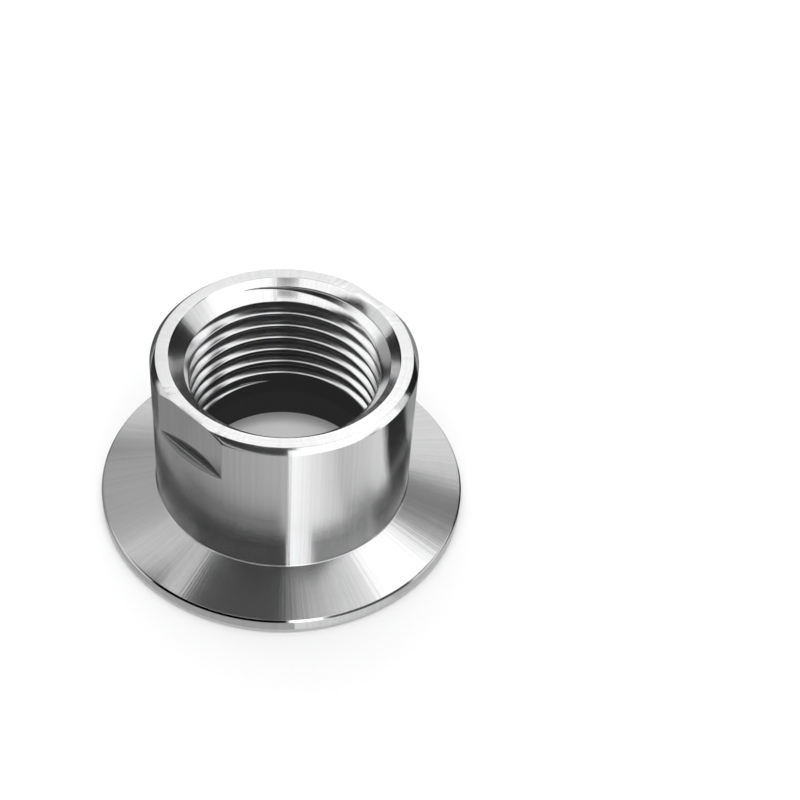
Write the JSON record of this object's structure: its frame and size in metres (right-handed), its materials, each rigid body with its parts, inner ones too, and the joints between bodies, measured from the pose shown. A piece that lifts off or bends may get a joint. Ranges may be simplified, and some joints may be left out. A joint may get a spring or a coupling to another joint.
{
  "type": "vacuum flange adapter",
  "caption": "Turned vacuum adapter: a round clamp flange with a centring recess under a cylindrical hub with a female pipe thread and wrench flats.",
  "frame": {"origin": "centre of the sealing face, on the axis, in the plane the part stands on", "axes": "+Z along the bore axis, out of the threaded mouth; the wrench flats face -Y and +Y"},
  "size_m": [0.055, 0.055, 0.029],
  "materials": {
    "stainless_steel": "bright turned, fine concentric tool marks"
  },
  "bodies": {
    "root": {"adapter_body": "stainless_steel"}
  },
  "joints": []
}
